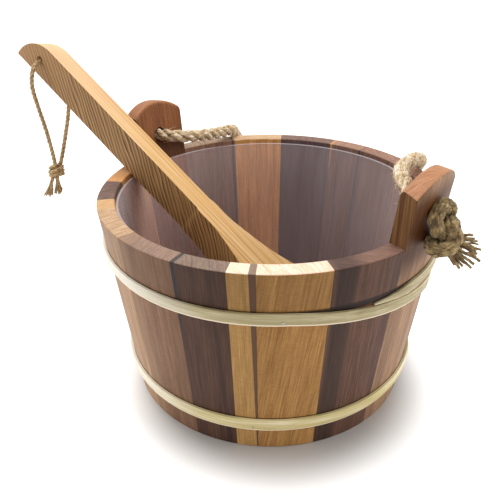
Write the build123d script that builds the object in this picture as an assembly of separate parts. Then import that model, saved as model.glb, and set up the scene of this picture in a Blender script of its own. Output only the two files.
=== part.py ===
from build123d import *
import math
import os

os.makedirs("parts", exist_ok=True)

# A coopered wooden piggin: tapered staves, two eared staves, a rope handle, a clear liner and a ladle.
# Millimetres. Origin on the floor at the pail's axis, +Z up, -Y towards the viewer, +X to the right.

# Pail wall
rim_radius = 130.0
foot_radius = 111.2
body_height = 157.0
stave_wall = 13.2
arris_round = 1.2

# Angles of the joints between staves, counter-clockwise from +X seen from above
ear_angle = 140.5
ear_half_angle = 11.8
front_joint_angles = [172.9, 189.0, 218.6, 240.2, 256.5, 264.5, 285.3]
back_joint_angles = [351.5, 370.5, 388.5, 405.5, 420.5, 443.0, 464.3]
half_circle = 180.0
full_circle = 360.0

# Ears: the two eared staves run on above the rim and end in one arc, sawn square to the sloping face
ear_height = 45.0
ear_crown_radius = 40.0
ear_outer_round = 1.3
ear_inner_round = 3.0
trim_overrun = 10.0

# Bottom boards in the croze groove
board_rise = 10.0
board_thickness = 9.0
croze_depth = 4.0
board_play = 0.2
board_count = 3

# Clear liner
liner_drop = 4.0
liner_wall = 1.5
liner_floor = 2.0
liner_play = 0.3
liner_corner_radius = 9.0

# Hoops: flat strips with a crowned face
upper_hoop_width = 9.2
hoop_thickness = 3.0
hoop_edge_share = 0.6
hoop_crown_share = 0.28
hoop_play = 0.3
upper_hoop_bottom = 118.5
lower_hoop_bottom = 20.5
lower_hoop_width = 10.2
hoop_step_angle = 5.0

# Side by side lap of the upper hoop
lap_start_angle = 300.0
lap_growth_angle = 16.0
lap_gap = 0.5
lap_tip_width = 1.2
lap_tip_thickness = 1.4
lap_fall_start_angle = 634.0
lap_end_angle = 705.0
lap_fall = 19.5
lap_fall_power = 1.15
lap_taper_angle = 15.0

# Nails through the hoops
nail_radius = 0.8
nail_grip = 6.0
nail_play = 0.05
nail_proud = 0.3
nail_rise_share = 0.4
upper_nail_angle = 272.0
lower_nail_angle = 263.0

# Rope handle
rope_diameter = 11.0
rope_hole_diameter = 12.0
rope_hole_rise = 18.5
rope_joint_radius = 126.0
fillet_share = 0.45
rope_bend_radius = 118.2
rope_route = [
    (-83.9, 72.6, 175.2),
    (-75.6, 72.9, 174.5),
    (-67.2, 76.6, 173.0),
    (-58.6, 85.8, 170.6),
    (-49.4, 97.6, 168.0),
    (-41.5, 108.5, 166.0),
    (-35.0, 119.5, 164.4),
    (-30.6, 130.9, 161.6),
    (-28.0, 139.6, 153.0),
    (-19.0, 143.5, 141.0),
    (3.0, 144.0, 132.0),
    (31.0, 140.5, 127.0),
    (59.0, 130.0, 126.0),
    (85.0, 113.5, 128.0),
    (107.0, 93.5, 132.5),
    (121.3, 74.0, 139.5),
    (128.4, 60.4, 149.6),
    (127.6, 48.6, 160.4),
    (120.8, 37.2, 166.3),
    (114.4, 25.8, 169.4),
    (106.0, 9.5, 173.0),
    (97.0, -9.5, 177.2),
    (91.2, -27.5, 180.4),
    (88.8, -39.5, 182.6),
    (87.5, -48.9, 184.1),
    (87.1, -56.8, 184.1),
    (88.4, -64.0, 182.0),
    (88.3, -69.6, 178.0),
]

# Stopper knots outside the ears, and their unlaid ends
knot_turn_radius = 5.3
knot_strand_radius = 4.5
knot_turn_tilts = [30.0, -24.0, 26.0]
knot_turn_shares = [0.8, 1.0, 0.95]
knot_turn_spacing = 10.0
knot_drop = 10.3
knot_side_step = 2.0
knot_play = 0.4
tassel_drop = 9.0
tassel_length = 21.0
tassel_root_half_width = 7.0
tassel_root_half_depth = 4.0
tassel_half_width = 11.0
tassel_half_depth = 5.0
right_tassel_direction = (0.93, -0.05, -0.37)
left_tassel_direction = (-0.30, 0.35, -0.89)

# Ladle: one carved piece
ladle_rest_angle = 163.74
ladle_heading = 148.3
ladle_lean_share = 0.6127
ladle_play = 0.3
handle_height = 27.0
handle_tip_width = 14.2
handle_width = 17.0
handle_neck_width = 17.8
handle_reach = 140.0
handle_end_radius = 30.0
handle_end_skew_share = 0.26
neck_start = 62.0
neck_end_setback = 14.0
bowl_radius = 40.0
bowl_drop = 9.0
bowl_foot_radius = 16.0
bowl_hollow_radius = 34.0
bowl_hollow_corner = 20.0
bowl_floor = 7.0
neck_edge_radius = 0.4
cord_hole_diameter = 6.4
cord_hole_setback = 22.0
cord_hole_rise = 12.8

# Neck of the ladle: share of its length, of the widening, of the drop and of the rounding below
neck_shares = [
    (0.00, 0.000, 0.00, 0.00),
    (0.15, 0.040, 0.10, 0.03),
    (0.30, 0.120, 0.27, 0.09),
    (0.44, 0.245, 0.42, 0.20),
    (0.56, 0.375, 0.56, 0.34),
    (0.68, 0.560, 0.70, 0.52),
    (0.80, 0.770, 0.84, 0.74),
    (0.90, 0.905, 0.94, 0.90),
    (1.00, 1.000, 1.00, 1.00),
]

# Hanging cord of the ladle: up the front, straight through the hole and down the back
cord_diameter = 3.5
cord_hole_sag = 1.1
cord_exit_run = 4.2
cord_front_route = [
    (-189.0, 85.2, 146.0),
    (-189.4, 81.2, 172.0),
    (-192.3, 75.5, 200.0),
    (-193.2, 71.4, 217.5),
    (-191.3, 71.2, 228.6),
]
cord_back_route = [
    (-172.8, 99.4, 229.2),
    (-171.2, 100.8, 218.0),
    (-172.4, 97.6, 194.0),
    (-178.6, 92.2, 167.0),
    (-184.6, 88.0, 146.0),
]
cord_knot_half_width = 6.4
cord_knot_half_height = 6.1
cord_knot_play = 0.7
cord_knot_side_step = -1.8
cord_tail_length = 15.0
cord_tail_neck_radius = 1.8
left_tail_end_radius = 4.2
right_tail_end_radius = 2.3
left_tail_offset = -3.1
right_tail_offset = 0.9
left_tail_lean = 26.0
right_tail_lean = 12.0

# Worked out from the sizes above
right_ear_angle = ear_angle + half_circle
hinge_height = body_height + rope_hole_rise
board_top = board_rise + board_thickness
liner_floor_top = board_top + board_play + liner_play + liner_floor
liner_top = body_height - liner_drop
rope_radius = rope_diameter / 2
cord_hole_reach = handle_reach - cord_hole_setback


def outer_radius(z):
    return foot_radius + (rim_radius - foot_radius) * z / body_height


def inner_radius(z):
    return outer_radius(z) - stave_wall


def polar(radius, angle, z):
    turn = math.radians(angle)
    return Vector(radius * math.cos(turn), radius * math.sin(turn), z)


def wall_slope():
    return math.degrees(math.atan((rim_radius - foot_radius) / body_height))


def upright_face(points):
    return make_face(Plane.XZ * Polyline(*points, close=True))


def sector(face, start, end):
    return Rot(0, 0, start) * revolve(face, axis=Axis.Z, revolution_arc=end - start)


def save(shape, name):
    export_step(shape, f"parts/{name}.step")


# Staves, with the groove that holds the bottom
groove_bottom = board_rise - board_play
groove_top = board_top + board_play
groove_radius = inner_radius(board_rise) + croze_depth


def stave_points(top_points):
    foot = [(inner_radius(0), 0), (outer_radius(0), 0)]
    groove = [
        (inner_radius(groove_top), groove_top),
        (groove_radius, groove_top),
        (groove_radius, groove_bottom),
        (inner_radius(groove_bottom), groove_bottom),
    ]
    return foot + top_points + groove


def nail_hole(angle, z):
    middle = polar(outer_radius(z), angle, z)
    place = Plane(origin=middle, z_dir=polar(1, angle, 0))
    return place * Cylinder(nail_radius + nail_play, 2 * (nail_grip + hoop_thickness))


upper_nail_height = upper_hoop_bottom + nail_rise_share * upper_hoop_width
lower_nail_height = lower_hoop_bottom + nail_rise_share * lower_hoop_width
upper_nail_hole = nail_hole(upper_nail_angle, upper_nail_height)
lower_nail_hole = nail_hole(lower_nail_angle, lower_nail_height)

plain_top = [(outer_radius(body_height), body_height), (inner_radius(body_height), body_height)]
plain_face = upright_face(stave_points(plain_top))
rim_corners = plain_face.vertices().group_by(Axis.Z)[-1]
foot_corners = plain_face.vertices().group_by(Axis.Z)[0]
plain_face = fillet(rim_corners + foot_corners, arris_round)

left_ear_joints = [ear_angle - ear_half_angle, ear_angle + ear_half_angle]
right_ear_joints = [angle + half_circle for angle in left_ear_joints]
front_joints = [left_ear_joints[1]] + front_joint_angles + [right_ear_joints[0]]
back_joints = [right_ear_joints[1]] + back_joint_angles + [left_ear_joints[0] + full_circle]
stave_spans = list(zip(front_joints[:-1], front_joints[1:])) + list(zip(back_joints[:-1], back_joints[1:]))

for number, (start, end) in enumerate(stave_spans, 1):
    stave = sector(plain_face, start, end)
    for angle, hole in ((upper_nail_angle, upper_nail_hole), (lower_nail_angle, lower_nail_hole)):
        if start < angle < end:
            stave -= hole
    save(stave, f"stave_{number:02d}")


# Eared staves, rounded at the top and bored for the rope
def ear_outline(angle):
    crown_center = ear_height - ear_crown_radius
    disc = Pos(0, crown_center) * Circle(ear_crown_radius)
    below = body_height + trim_overrun
    wide = 2 * ear_crown_radius
    shank = Pos(0, crown_center - below / 2) * Rectangle(wide, below)
    outward = polar(1, angle, 0)
    square_to_face = outward.rotate(Axis((0, 0, 0), polar(1, angle - half_circle / 2, 0)), -wall_slope())
    place = Plane(
        origin=polar(rim_radius, angle, body_height),
        x_dir=polar(1, angle + half_circle / 2, 0),
        z_dir=square_to_face,
    )
    return extrude(place * (disc + shank), amount=2 * (stave_wall + trim_overrun), both=True)


def ear_stave(angle):
    blank_top = body_height + ear_height + trim_overrun
    top_points = [(outer_radius(blank_top), blank_top), (inner_radius(blank_top), blank_top)]
    face = upright_face(stave_points(top_points))
    corners = face.vertices().group_by(Axis.Z)[0]
    face = fillet(corners, arris_round)
    blank = sector(face, angle - ear_half_angle, angle + ear_half_angle) & ear_outline(angle)
    for radius, order in ((ear_inner_round, 0), (ear_outer_round, -1)):
        above_rim = blank.edges().filter_by(lambda edge: edge.center().Z > body_height + ear_height / 2)
        crowns = above_rim.filter_by(lambda edge: edge.length > 2 * stave_wall)
        blank = fillet(crowns.sort_by(lambda edge: edge.center().dot(polar(1, angle, 0)))[order], radius)
    bore_place = Plane(origin=polar(rim_radius, angle, hinge_height), z_dir=polar(1, angle, 0))
    return blank - bore_place * Cylinder(rope_hole_diameter / 2, 2 * (stave_wall + trim_overrun))


save(ear_stave(ear_angle), "ear_stave_left")
save(ear_stave(right_ear_angle), "ear_stave_right")

# Bottom boards
board_disc_radius = groove_radius - board_play
board_disc = Pos(0, 0, board_rise) * extrude(Circle(board_disc_radius), amount=board_thickness)
board_width = 2 * board_disc_radius / board_count
board_names = ["bottom_board_front", "bottom_board_middle", "bottom_board_back"]
for index, name in enumerate(board_names):
    middle_y = (index - (board_count - 1) / 2) * board_width
    strip = Box(2 * board_disc_radius, board_width, 2 * board_top)
    save(board_disc & Pos(0, middle_y, board_top) * strip, name)

# Liner: a thin clear tub that stands on the boards
liner_bottom = liner_floor_top - liner_floor


def liner_side(z, inset):
    return inner_radius(z) - liner_play - inset


def liner_half(inset, bottom, top):
    corner = liner_corner_radius - inset
    wall = Line((liner_side(bottom, inset), bottom), (liner_side(top, inset), top))
    floor = Line((0, bottom), (liner_side(bottom, inset), bottom))
    axis = Line((0, bottom), (0, top))
    lid = Line((0, top), (liner_side(top, inset), top))
    face = make_face(Plane.XZ * (Curve() + [floor, wall, lid, axis]))
    base = face.vertices().group_by(Axis.Z)[0].sort_by(Axis.X)[-1]
    return revolve(fillet(base, corner), axis=Axis.Z)


liner = liner_half(0, liner_bottom, liner_top)
liner -= liner_half(liner_wall, liner_floor_top, liner_top + trim_overrun)
save(liner, "liner")


# Hoops
def hoop_section(angle, bottom, top, thickness):
    inner_bottom = outer_radius(bottom) + hoop_play
    inner_top = outer_radius(top) + hoop_play
    edge = hoop_edge_share * thickness
    crown = (top - bottom) * hoop_crown_share
    low = bottom + crown
    high = top - crown
    points = [
        (inner_bottom, bottom),
        (inner_bottom + edge, bottom),
        (outer_radius(low) + hoop_play + thickness, low),
        (outer_radius(high) + hoop_play + thickness, high),
        (inner_top + edge, top),
        (inner_top, top),
    ]
    return Rot(0, 0, angle) * upright_face(points)


def fallen_top(angle):
    share = max(0, angle - lap_fall_start_angle) / (lap_end_angle - lap_fall_start_angle)
    return upper_hoop_bottom + upper_hoop_width - lap_fall * share ** lap_fall_power


def upper_hoop_section(angle):
    growth = min(1, (angle - lap_start_angle) / lap_growth_angle)
    ending = min(1, (lap_end_angle - angle) / lap_taper_angle)
    width = lap_tip_width + (upper_hoop_width - lap_tip_width) * min(growth, ending)
    thickness = lap_tip_thickness + (hoop_thickness - lap_tip_thickness) * min(growth, ending)
    if growth < 1 or angle < lap_end_angle - full_circle:
        bottom = max(upper_hoop_bottom, fallen_top(angle + full_circle) + lap_gap)
        return hoop_section(angle, bottom, bottom + width, thickness)
    top = fallen_top(angle)
    return hoop_section(angle, top - width, top, thickness)


step_count = round((lap_end_angle - lap_start_angle) / hoop_step_angle)
upper_hoop_angles = [lap_start_angle + index * hoop_step_angle for index in range(step_count + 1)]
upper_hoop = loft([upper_hoop_section(angle) for angle in upper_hoop_angles], ruled=True)
save(upper_hoop - upper_nail_hole, "upper_hoop")

lower_face = hoop_section(0, lower_hoop_bottom, lower_hoop_bottom + lower_hoop_width, hoop_thickness)
lower_hoop = revolve(lower_face, axis=Axis.Z)
save(lower_hoop - lower_nail_hole, "lower_hoop")


def nail(angle, z):
    face_radius = outer_radius(z) + hoop_play + hoop_thickness
    start = polar(outer_radius(z) - nail_grip, angle, z)
    length = face_radius + nail_proud - outer_radius(z) + nail_grip
    return Plane(origin=start, z_dir=polar(1, angle, 0)) * extrude(Circle(nail_radius), amount=length)


save(nail(upper_nail_angle, upper_nail_height), "upper_hoop_nail")
save(nail(lower_nail_angle, lower_nail_height), "lower_hoop_nail")


# Tubes along a route of points
def route_radii(points):
    radii = []
    for before, corner, after in zip(points, points[1:], points[2:]):
        first = Vector(*corner) - Vector(*before)
        second = Vector(*after) - Vector(*corner)
        half_turn = math.radians(first.get_angle(second)) / 2
        radii.append(fillet_share * min(first.length, second.length) / math.tan(half_turn))
    return radii


def tube(points, diameter, name):
    radii = route_radii(points)
    path = FilletPolyline(*points, radius=radii)
    start = Plane(origin=path @ 0, z_dir=path % 0)
    solid = sweep(start * Circle(diameter / 2), path=path)
    expected = math.pi * diameter ** 2 / 4 * path.length
    print(name, "length", round(path.length, 1), "radii", [round(radius, 1) for radius in radii])
    print(name, "volume over section times length", round(solid.volume / expected, 5))
    return solid


left_joint = polar(rope_joint_radius, ear_angle, hinge_height)
right_joint = polar(rope_joint_radius, right_ear_angle, hinge_height)
left_corner = polar(rope_bend_radius, ear_angle, hinge_height)
right_corner = polar(rope_bend_radius, right_ear_angle, hinge_height)
handle_start = [tuple(left_joint), tuple(left_corner)]
handle_end = [tuple(right_corner), tuple(right_joint)]
handle_points = handle_start + rope_route + handle_end
save(tube(handle_points, rope_diameter, "rope_handle"), "rope_handle")


# Rope in the hole, its stopper knot and the frayed end
def rope_end(angle, tassel_direction):
    outward = polar(1, angle, 0)
    sideways = polar(1, angle - half_circle / 2, 0)
    joint = polar(rope_joint_radius, angle, hinge_height)
    knot_height = hinge_height - knot_drop
    knot_radius = outer_radius(hinge_height) + knot_play + knot_turn_radius + knot_strand_radius
    middle = polar(knot_radius, angle, knot_height) + sideways * knot_side_step
    stub_place = Plane(origin=joint, z_dir=outward)
    solid = stub_place * extrude(Circle(rope_radius), amount=knot_radius - rope_joint_radius)
    place = Plane(origin=middle, x_dir=outward, z_dir=(0, 0, 1))
    for index, (tilt, size_share) in enumerate(zip(knot_turn_tilts, knot_turn_shares)):
        turn_ring = Torus(knot_turn_radius * size_share, knot_strand_radius * size_share)
        inset = (knot_turn_radius + knot_strand_radius) * (1 - size_share)
        rise = (1 - index) * knot_turn_spacing
        solid += place * Pos(-inset, 0, rise) * Rot(tilt, 0, 0) * turn_ring
    solid += place * Cylinder(knot_turn_radius * min(knot_turn_shares), 2 * knot_turn_spacing)
    away = Vector(*tassel_direction).normalized()
    across = away.cross(Vector(0, 1, 0)).normalized()
    root = middle - Vector(0, 0, tassel_drop)
    root_place = Plane(origin=root, x_dir=across, z_dir=away)
    mouth_place = Plane(origin=root + away * tassel_length, x_dir=across, z_dir=away)
    root_face = root_place * Ellipse(tassel_root_half_width, tassel_root_half_depth)
    mouth_face = mouth_place * Ellipse(tassel_half_width, tassel_half_depth)
    return solid + loft([root_face, mouth_face])


save(rope_end(ear_angle, left_tassel_direction), "rope_end_left")
save(rope_end(right_ear_angle, right_tassel_direction), "rope_end_right")

# Ladle: X along the handle towards its end, Z up out of its top face, resting on the rim's inner edge
slope = math.atan(ladle_lean_share * body_height / rim_radius)
ladle_x = polar(math.cos(slope), ladle_heading, math.sin(slope))
ladle_z = polar(-math.sin(slope), ladle_heading, math.cos(slope))
ladle_side = polar(1, ladle_heading - half_circle / 2, 0)
rest_point = polar(inner_radius(body_height), ladle_rest_angle, body_height + ladle_play)
ladle_place = Plane(origin=rest_point + ladle_side * (handle_width / 2), x_dir=ladle_x, z_dir=ladle_z)

# The bowl reaches as far as the liner's floor lets it
foot_center_rise = bowl_foot_radius - bowl_drop
foot_circle_radius = bowl_radius - bowl_foot_radius
foot_center_height = rest_point.Z + foot_center_rise * math.cos(slope)
bowl_fall = foot_center_height - bowl_foot_radius - liner_floor_top - ladle_play
bowl_reach = bowl_fall / math.sin(slope) - foot_circle_radius


def handle_side(y):
    shift = (y - handle_tip_width / 2) * handle_end_skew_share
    end_center = handle_reach - handle_end_radius + shift
    end_low = handle_height - handle_end_radius
    tip = end_center + math.sqrt(handle_end_radius ** 2 - end_low ** 2)
    diagonal = handle_end_radius * math.sqrt(0.5)
    lines = Polyline((tip, 0), (-neck_start, 0), (-neck_start, handle_height), (end_center, handle_height))
    arc = ThreePointArc((end_center, handle_height), (end_center + diagonal, end_low + diagonal), (tip, 0))
    return Pos(0, y, 0) * make_face(Plane.XZ * (Curve() + [lines, arc]))


def ladle_handle():
    side_body = loft([handle_side(-handle_width), handle_side(handle_width)], ruled=True)
    plan_points = [
        (handle_reach + trim_overrun, handle_tip_width / 2),
        (0, handle_width / 2),
        (-neck_start, handle_neck_width / 2),
        (-neck_start, -handle_neck_width / 2),
        (0, -handle_width / 2),
        (handle_reach + trim_overrun, -handle_tip_width / 2),
    ]
    plan_body = extrude(make_face(Polyline(*plan_points, close=True)), amount=handle_height)
    return side_body & plan_body


def neck_section(length_share, width_share, drop_share, round_share):
    end = bowl_reach - neck_end_setback
    end_half_width = math.sqrt(bowl_radius ** 2 - neck_end_setback ** 2)
    x = -neck_start - (end - neck_start) * length_share
    half = handle_neck_width / 2 + (end_half_width - handle_neck_width / 2) * width_share
    low = -bowl_drop * drop_share
    corner = neck_edge_radius + (bowl_foot_radius - neck_edge_radius) * round_share
    diagonal = corner * (1 - math.sqrt(0.5))
    arc_right = ThreePointArc((half, low + corner), (half - diagonal, low + diagonal), (half - corner, low))
    arc_left = ThreePointArc((-half + corner, low), (-half + diagonal, low + diagonal), (-half, low + corner))
    outline = [
        Line((half, handle_height), (half, low + corner)),
        arc_right,
        Line((half - corner, low), (-half + corner, low)),
        arc_left,
        Line((-half, low + corner), (-half, handle_height)),
        Line((-half, handle_height), (half, handle_height)),
    ]
    place = Plane(origin=(x, 0, 0), x_dir=(0, 1, 0), z_dir=(1, 0, 0))
    return place * make_face(Curve() + outline)


def bowl_turned(radius, low, high, corner):
    face = make_face(Plane.XZ * Polyline((0, low), (radius, low), (radius, high), (0, high), close=True))
    base = face.vertices().group_by(Axis.Z)[0].sort_by(Axis.X)[-1]
    return Pos(-bowl_reach, 0, 0) * revolve(fillet(base, corner), axis=Axis.Z)


ladle = ladle_handle() + loft([neck_section(*shares) for shares in neck_shares])
ladle += bowl_turned(bowl_radius, -bowl_drop, handle_height, bowl_foot_radius)
hollow_low = bowl_floor - bowl_drop
ladle -= bowl_turned(bowl_hollow_radius, hollow_low, handle_height + trim_overrun, bowl_hollow_corner)
hole_place = Plane(origin=(cord_hole_reach, 0, cord_hole_rise), z_dir=(0, 1, 0))
ladle -= hole_place * Cylinder(cord_hole_diameter / 2, 2 * handle_width)
save(ladle_place * ladle, "ladle")

# Hanging cord, its knot and the two frayed tails
hole_share = cord_hole_reach / handle_reach
hole_half_width = (handle_width + (handle_tip_width - handle_width) * hole_share) / 2
hole_middle = ladle_place.from_local_coords(Vector(cord_hole_reach, 0, cord_hole_rise))
cord_middle = hole_middle - Vector(0, 0, cord_hole_sag)
cord_in = cord_middle - ladle_side * (hole_half_width + cord_exit_run)
cord_out = cord_middle + ladle_side * (hole_half_width + cord_exit_run)
cord_route = cord_front_route + [tuple(cord_in), tuple(cord_out)] + cord_back_route
save(tube(cord_route, cord_diameter, "ladle_cord"), "ladle_cord")
front_end = Vector(*cord_route[0])
back_end = Vector(*cord_route[-1])
knot_top = (front_end + back_end) / 2
knot_flat_radius = (front_end - back_end).length / 2 + cord_diameter / 2


def knot_profile():
    half_height = cord_knot_half_height
    lines = Polyline((0, half_height), (knot_flat_radius, half_height))
    arc = ThreePointArc((knot_flat_radius, half_height), (cord_knot_half_width, 0), (knot_flat_radius, -half_height))
    close = Polyline((knot_flat_radius, -half_height), (0, -half_height), (0, half_height))
    return make_face(Plane.XZ * (Curve() + [lines, arc, close]))


knot_center = knot_top + Vector(cord_knot_side_step, 0, -cord_knot_play - cord_knot_half_height)
save(Pos(*tuple(knot_center)) * revolve(knot_profile(), axis=Axis.Z), "ladle_cord_knot")


def cord_tail(offset, lean, end_radius):
    top = knot_center + Vector(offset, 0, -cord_knot_half_height)
    middle_radius = (cord_tail_neck_radius + end_radius) / 2
    cone = Pos(0, 0, -cord_tail_length / 2) * Cone(end_radius, cord_tail_neck_radius, cord_tail_length)
    tilted = Pos(*tuple(top)) * Rot(0, lean, 0) * cone
    above = Pos(*tuple(top)) * Pos(0, 0, middle_radius) * Box(2 * trim_overrun, 2 * trim_overrun, 2 * middle_radius)
    return tilted - above


save(cord_tail(left_tail_offset, left_tail_lean, left_tail_end_radius), "ladle_cord_tail_left")
save(cord_tail(right_tail_offset, right_tail_lean, right_tail_end_radius), "ladle_cord_tail_right")
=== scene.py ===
import math
import random

import bmesh
import bpy
from mathutils import Matrix, Vector, noise


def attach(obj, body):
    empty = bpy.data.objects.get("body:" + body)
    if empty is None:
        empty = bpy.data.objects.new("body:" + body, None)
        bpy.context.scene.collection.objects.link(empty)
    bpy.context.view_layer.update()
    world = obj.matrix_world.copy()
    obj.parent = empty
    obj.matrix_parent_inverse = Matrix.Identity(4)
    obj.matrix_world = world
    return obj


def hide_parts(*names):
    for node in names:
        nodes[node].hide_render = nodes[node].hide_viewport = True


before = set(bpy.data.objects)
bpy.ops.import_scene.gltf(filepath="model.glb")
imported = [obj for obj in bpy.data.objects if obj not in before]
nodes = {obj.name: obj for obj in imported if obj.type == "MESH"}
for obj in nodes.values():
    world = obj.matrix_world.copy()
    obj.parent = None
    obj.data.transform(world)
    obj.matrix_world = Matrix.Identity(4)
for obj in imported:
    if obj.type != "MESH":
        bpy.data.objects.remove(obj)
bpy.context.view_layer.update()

mm = 0.001
print("frame loaded:", len(nodes), "nodes")


# Small helpers
def hexToLinear(code):
    channels = [int(code[start:start + 2], 16) / 255 for start in (1, 3, 5)]
    return [value / 12.92 if value <= 0.04045 else ((value + 0.055) / 1.055) ** 2.4 for value in channels] + [1.0]


def addNode(tree, kind, sockets=None, stops=None, **settings):
    node = tree.nodes.new("ShaderNode" + kind)
    for name, value in settings.items():
        setattr(node, name, value)
    for socket, value in (sockets or {}).items():
        if isinstance(value, bpy.types.NodeSocket):
            tree.links.new(value, node.inputs[socket])
        else:
            node.inputs[socket].default_value = value
    if stops:
        ramp = node.color_ramp.elements
        while len(ramp) < len(stops[0]):
            ramp.new(0.5)
        for element, place, code in zip(ramp, *stops):
            element.position = place
            element.color = hexToLinear(code)
    return node


def newMaterial(name):
    material = bpy.data.materials.new(name)
    material.use_nodes = True
    return material, material.node_tree, material.node_tree.nodes["Principled BSDF"]


def dress(nodeName, material):
    for slot in nodes[nodeName].material_slots:
        slot.material = material


# Repeated steps: noise drawn out along the grain, and colour with relief put into the shader
def stretchedNoise(tree, place, scale, look, shift=(0, 0, 0)):
    stretched = addNode(tree, "Mapping", {"Vector": place, "Scale": scale, "Location": shift}).outputs[0]
    return addNode(tree, "TexNoise", {"Vector": stretched, "Scale": 1.0} | look).outputs["Fac"]


def coverSurface(tree, shader, colour, relief, strength, depth):
    tree.links.new(colour, shader.inputs["Base Color"])
    bump = addNode(tree, "Bump", {"Strength": strength, "Distance": depth, "Height": relief}).outputs[0]
    tree.links.new(bump, shader.inputs["Normal"])


# 1 for rays that show the floor or the surroundings, 0 for those that light the pail
def shownRays(tree):
    rays = addNode(tree, "LightPath").outputs
    seen = rays["Is Camera Ray"]
    for kind in ("Is Glossy Ray", "Is Transmission Ray"):
        seen = addNode(tree, "Math", {0: seen, 1: rays[kind]}, operation="MAXIMUM").outputs[0]
    return seen


# Camera: fitted to the rim, the foot and both hoops of the photograph
view = {
    "focal": 44.78,
    "sensor": 36,
    "nearest": 0.01,
    "place": (-0.01553, -0.44043, 0.34273),
    "pitchDown": 28.57,
    "roll": -0.48,
}
cameraData = bpy.data.cameras.new("camera")
cameraData.lens = view["focal"]
cameraData.sensor_width = view["sensor"]
cameraData.clip_start = view["nearest"]
camera = bpy.data.objects.new("camera", cameraData)
bpy.context.collection.objects.link(camera)
lookDown = Matrix.Rotation(math.radians(90 - view["pitchDown"]), 4, "X")
rolled = Matrix.Rotation(math.radians(view["roll"]), 4, "Z")
camera.matrix_world = Matrix.Translation(view["place"]) @ lookDown @ rolled
bpy.context.scene.camera = camera
bpy.context.scene.view_settings.view_transform = "Standard"

# Studio: white floor that keeps a soft shadow, white surroundings, softboxes
studio = {
    "floorWidth": 14.0,
    "floorColour": "#EDEBE9",
    "seenColour": "#B9B4B0",
    "nearGlow": 0.0,
    "farGlow": 0.9,
    # painted shadow: no glow near the pail, so the floor there stays darker
    "glowMiddle": (0.004, -0.03, 0),
    "glowReach": (0.087, 0.14),
    "ambient": 0.58,
    "aim": (0, 0, 0.1),
    "lamps": {
        "topBox": {"place": (-0.2, 0.3, 1.35), "size": 0.9, "power": 12.5},
        "leftBox": {"place": (-1.3, -0.15, 0.75), "size": 0.8, "power": 7.0},
        "rightBox": {"place": (1.35, -0.1, 0.6), "size": 0.8, "power": 8.5},
    },
}
world = bpy.data.worlds.new("studio")
bpy.context.scene.world = world
world.use_nodes = True
tree = world.node_tree
strength = addNode(tree, "MapRange", {0: shownRays(tree), 3: studio["ambient"], 4: 1.0}).outputs[0]
tree.links.new(strength, tree.nodes["Background"].inputs["Strength"])
tree.nodes["Background"].inputs["Color"].default_value = (1, 1, 1, 1)

bm = bmesh.new()
bmesh.ops.create_grid(bm, x_segments=1, y_segments=1, size=studio["floorWidth"] / 2)
floorMesh = bpy.data.meshes.new("floor")
bm.to_mesh(floorMesh)
bm.free()
floor = bpy.data.objects.new("floor", floorMesh)
bpy.context.collection.objects.link(floor)

# matt white paper: away from the pail it glows to white; near it the glow fades out, a painted shadow round the
# foot on top of the pail's real shadow
floorMaterial = bpy.data.materials.new("paper sweep")
floorMaterial.use_nodes = True
tree = floorMaterial.node_tree
tree.nodes.clear()
plain = addNode(tree, "BsdfDiffuse", {"Color": hexToLinear(studio["floorColour"])}).outputs[0]
shown = addNode(tree, "BsdfDiffuse", {"Color": hexToLinear(studio["seenColour"])}).outputs[0]
spot = addNode(tree, "TexCoord").outputs["Object"]
reach = addNode(tree, "VectorMath", {0: spot, 1: studio["glowMiddle"]}, operation="DISTANCE").outputs["Value"]
nearReach, farReach = studio["glowReach"]
glow = {0: reach, 1: nearReach, 2: farReach, 3: studio["nearGlow"], 4: studio["farGlow"]}
glow = addNode(tree, "MapRange", glow, interpolation_type="SMOOTHSTEP").outputs[0]
glow = addNode(tree, "Emission", {"Color": (1, 1, 1, 1), "Strength": glow}).outputs[0]
shown = addNode(tree, "AddShader", {0: shown, 1: glow}).outputs[0]
paper = addNode(tree, "MixShader", {0: shownRays(tree), 1: plain, 2: shown}).outputs[0]
addNode(tree, "OutputMaterial", {"Surface": paper})
floorMesh.materials.append(floorMaterial)

for name, box in studio["lamps"].items():
    lampData = bpy.data.lights.new(name, "AREA")
    lampData.shape = "SQUARE"
    lampData.size = box["size"]
    lampData.energy = box["power"]
    lamp = bpy.data.objects.new(name, lampData)
    lamp.location = box["place"]
    lamp.rotation_euler = (Vector(studio["aim"]) - Vector(box["place"])).to_track_quat("-Z", "Y").to_euler()
    bpy.context.collection.objects.link(lamp)
print("studio and camera ready")


# Ropes and cords: strands that follow the route's own spline
def routePath(name, route):
    data = bpy.data.curves.new(name, "CURVE")
    data.dimensions = "3D"
    data.resolution_u = 16
    spline = data.splines.new("NURBS")
    spline.points.add(len(route) - 1)
    for point, place in zip(spline.points, route):
        point.co = (*[value * mm for value in place], 1)
    spline.order_u = 3
    spline.use_endpoint_u = True
    holder = bpy.data.objects.new(name, data)
    line = bpy.data.meshes.new_from_object(holder)
    path = [vertex.co.copy() for vertex in line.vertices]
    bpy.data.objects.remove(holder)
    bpy.data.meshes.remove(line)
    return path


def evenPath(path, spacing):
    steps = [(after - before).length for before, after in zip(path, path[1:])]
    count = max(2, round(sum(steps) / spacing))
    stride = sum(steps) / count
    made, travelled, index = [path[0]], 0.0, 0
    for number in range(1, count):
        while index < len(steps) - 1 and travelled + steps[index] < number * stride:
            travelled += steps[index]
            index += 1
        made.append(path[index].lerp(path[index + 1], (number * stride - travelled) / steps[index]))
    return made + [path[-1]]


def followFrames(points):
    last = len(points) - 1
    frames = []
    side = (points[1] - points[0]).orthogonal()
    for index, point in enumerate(points):
        ahead = (points[min(index + 1, last)] - points[max(index - 1, 0)]).normalized()
        side = (side - ahead * side.dot(ahead)).normalized()
        place = Matrix((side, ahead.cross(side), ahead)).transposed().to_4x4()
        place.translation = point
        frames.append(place)
    return frames


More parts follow.
